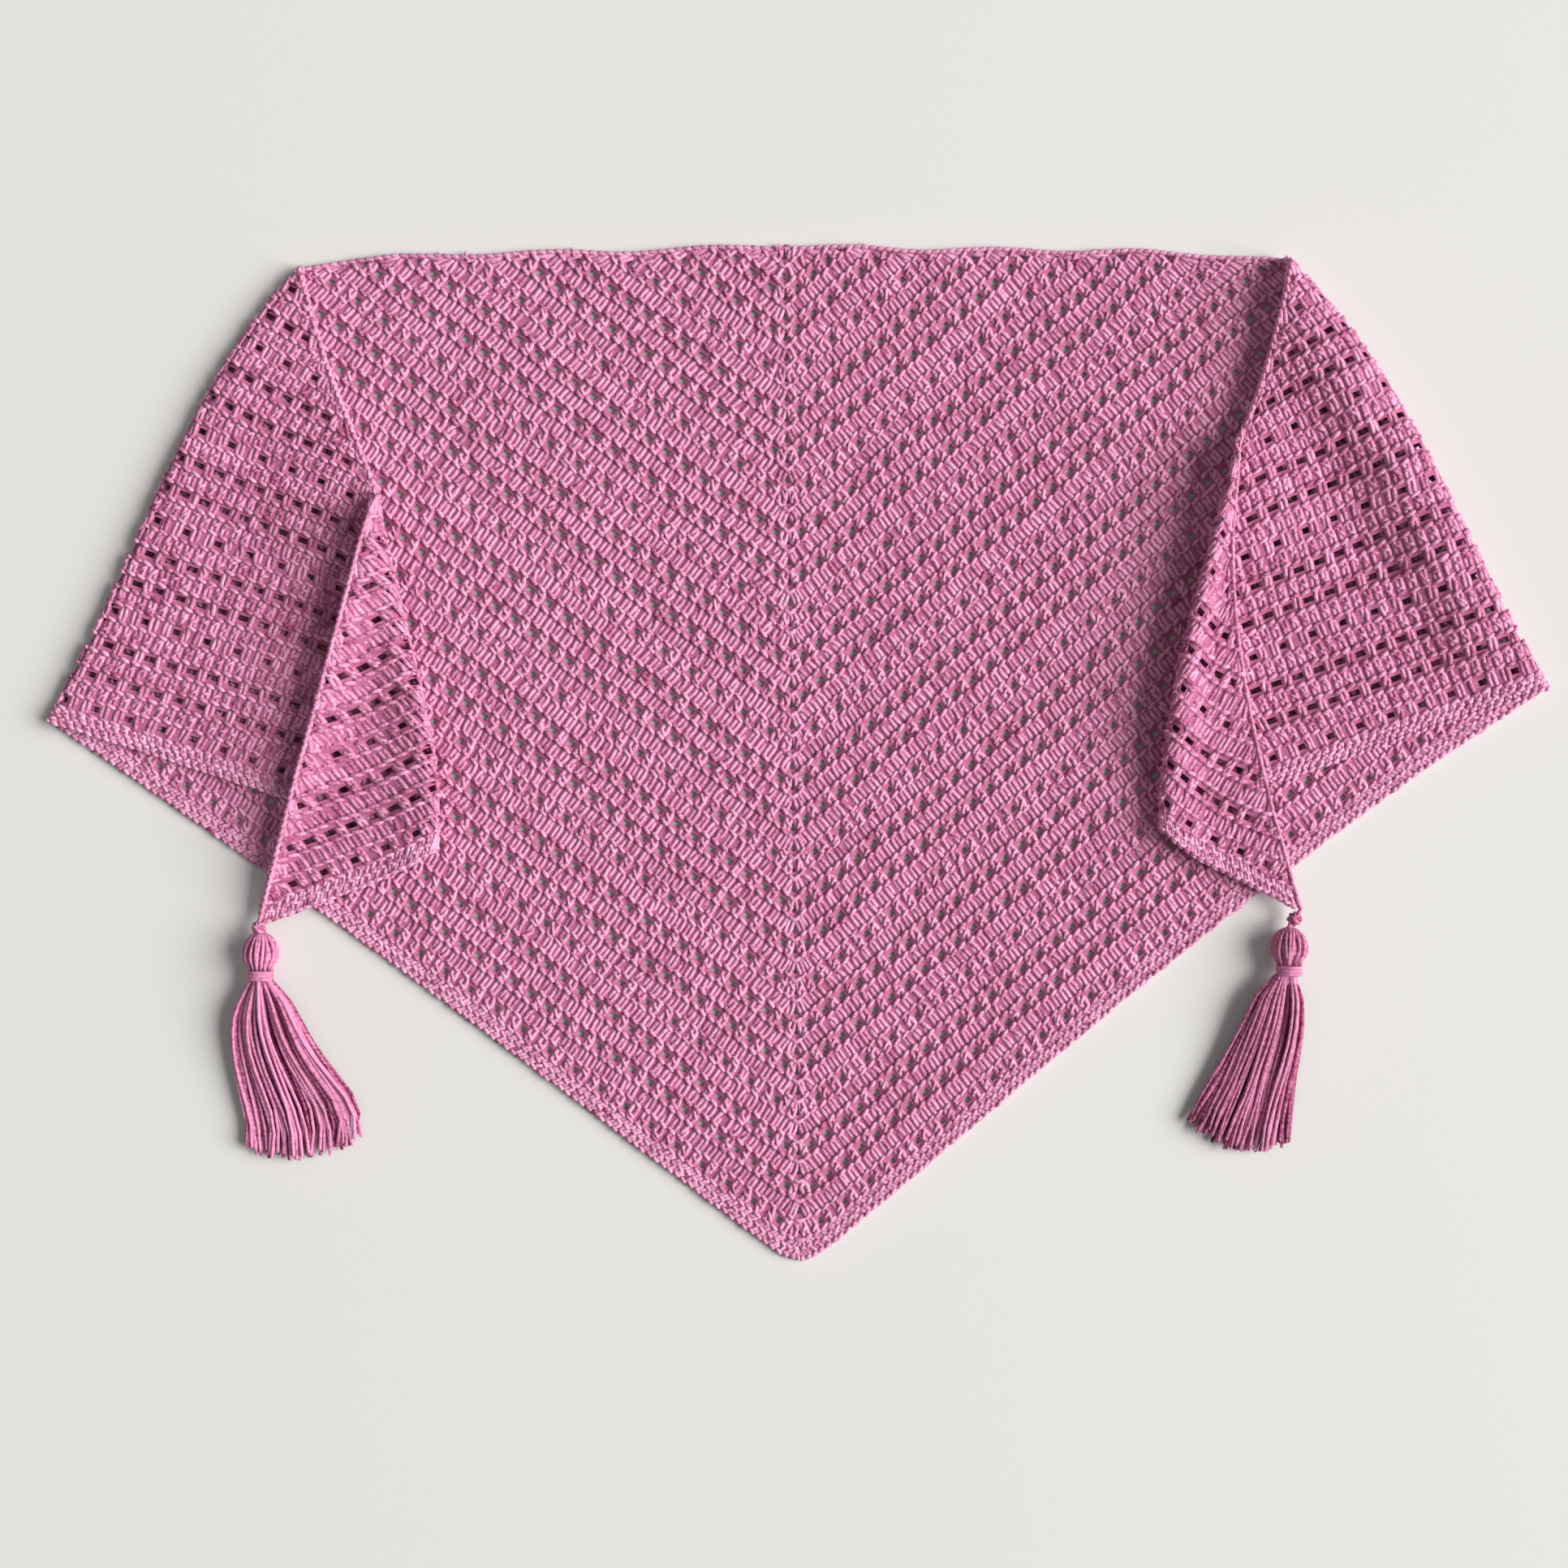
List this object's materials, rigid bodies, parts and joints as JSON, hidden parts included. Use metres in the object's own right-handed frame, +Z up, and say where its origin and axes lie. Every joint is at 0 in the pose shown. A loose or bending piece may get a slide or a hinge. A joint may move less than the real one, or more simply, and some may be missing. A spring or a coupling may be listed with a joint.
{
  "type": "shawl",
  "caption": "Crocheted triangular shawl with openwork rows and a tassel on each end, laid flat with both ends folded in over the back panel.",
  "frame": {"origin": "centre of the footprint, on the surface the shawl lies on", "axes": "+X to the right and +Y towards the straight top edge as seen from above, +Z up out of the cloth"},
  "size_m": [1.0296, 0.696, 0.0272],
  "materials": {
    "cloth": "orchid pink crocheted yarn",
    "edging": "orchid pink crocheted yarn, a little lighter",
    "yarn": "loose orchid pink yarn"
  },
  "bodies": {
    "root": {"back_panel": "cloth", "back_edging": "edging", "left_wing": "cloth", "left_wing_edging": "edging", "left_tip": "cloth", "left_tip_edging": "edging", "left_hanger": "yarn", "left_tassel": "yarn", "left_neck_tie": "yarn", "right_wing": "cloth", "right_wing_edging": "edging", "right_tip": "cloth", "right_tip_edging": "edging", "right_hanger": "yarn", "right_tassel": "yarn", "right_neck_tie": "yarn"}
  },
  "joints": []
}
